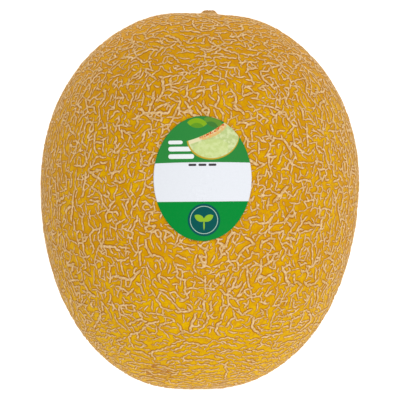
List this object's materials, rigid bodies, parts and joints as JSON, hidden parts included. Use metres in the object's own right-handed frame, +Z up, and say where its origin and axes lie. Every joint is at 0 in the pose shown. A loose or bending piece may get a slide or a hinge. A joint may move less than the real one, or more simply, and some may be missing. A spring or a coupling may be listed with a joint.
{
  "type": "netted melon",
  "caption": "Whole netted yellow melon lying on its side on a small flat spot, with a corky stem scar at one end and an oval paper label on top.",
  "frame": {"origin": "on the surface that the melon rests on, below the middle of its box", "axes": "+Y along the fruit's long axis towards the stem end, +Z up through the label, +X to the right when the label is seen from above with the stem end at the top"},
  "size_m": [0.13, 0.1552, 0.1297],
  "materials": {
    "rind": "satin",
    "label_paper": "satin"
  },
  "bodies": {
    "root": {"melon": "rind", "label": "label_paper"}
  },
  "joints": []
}
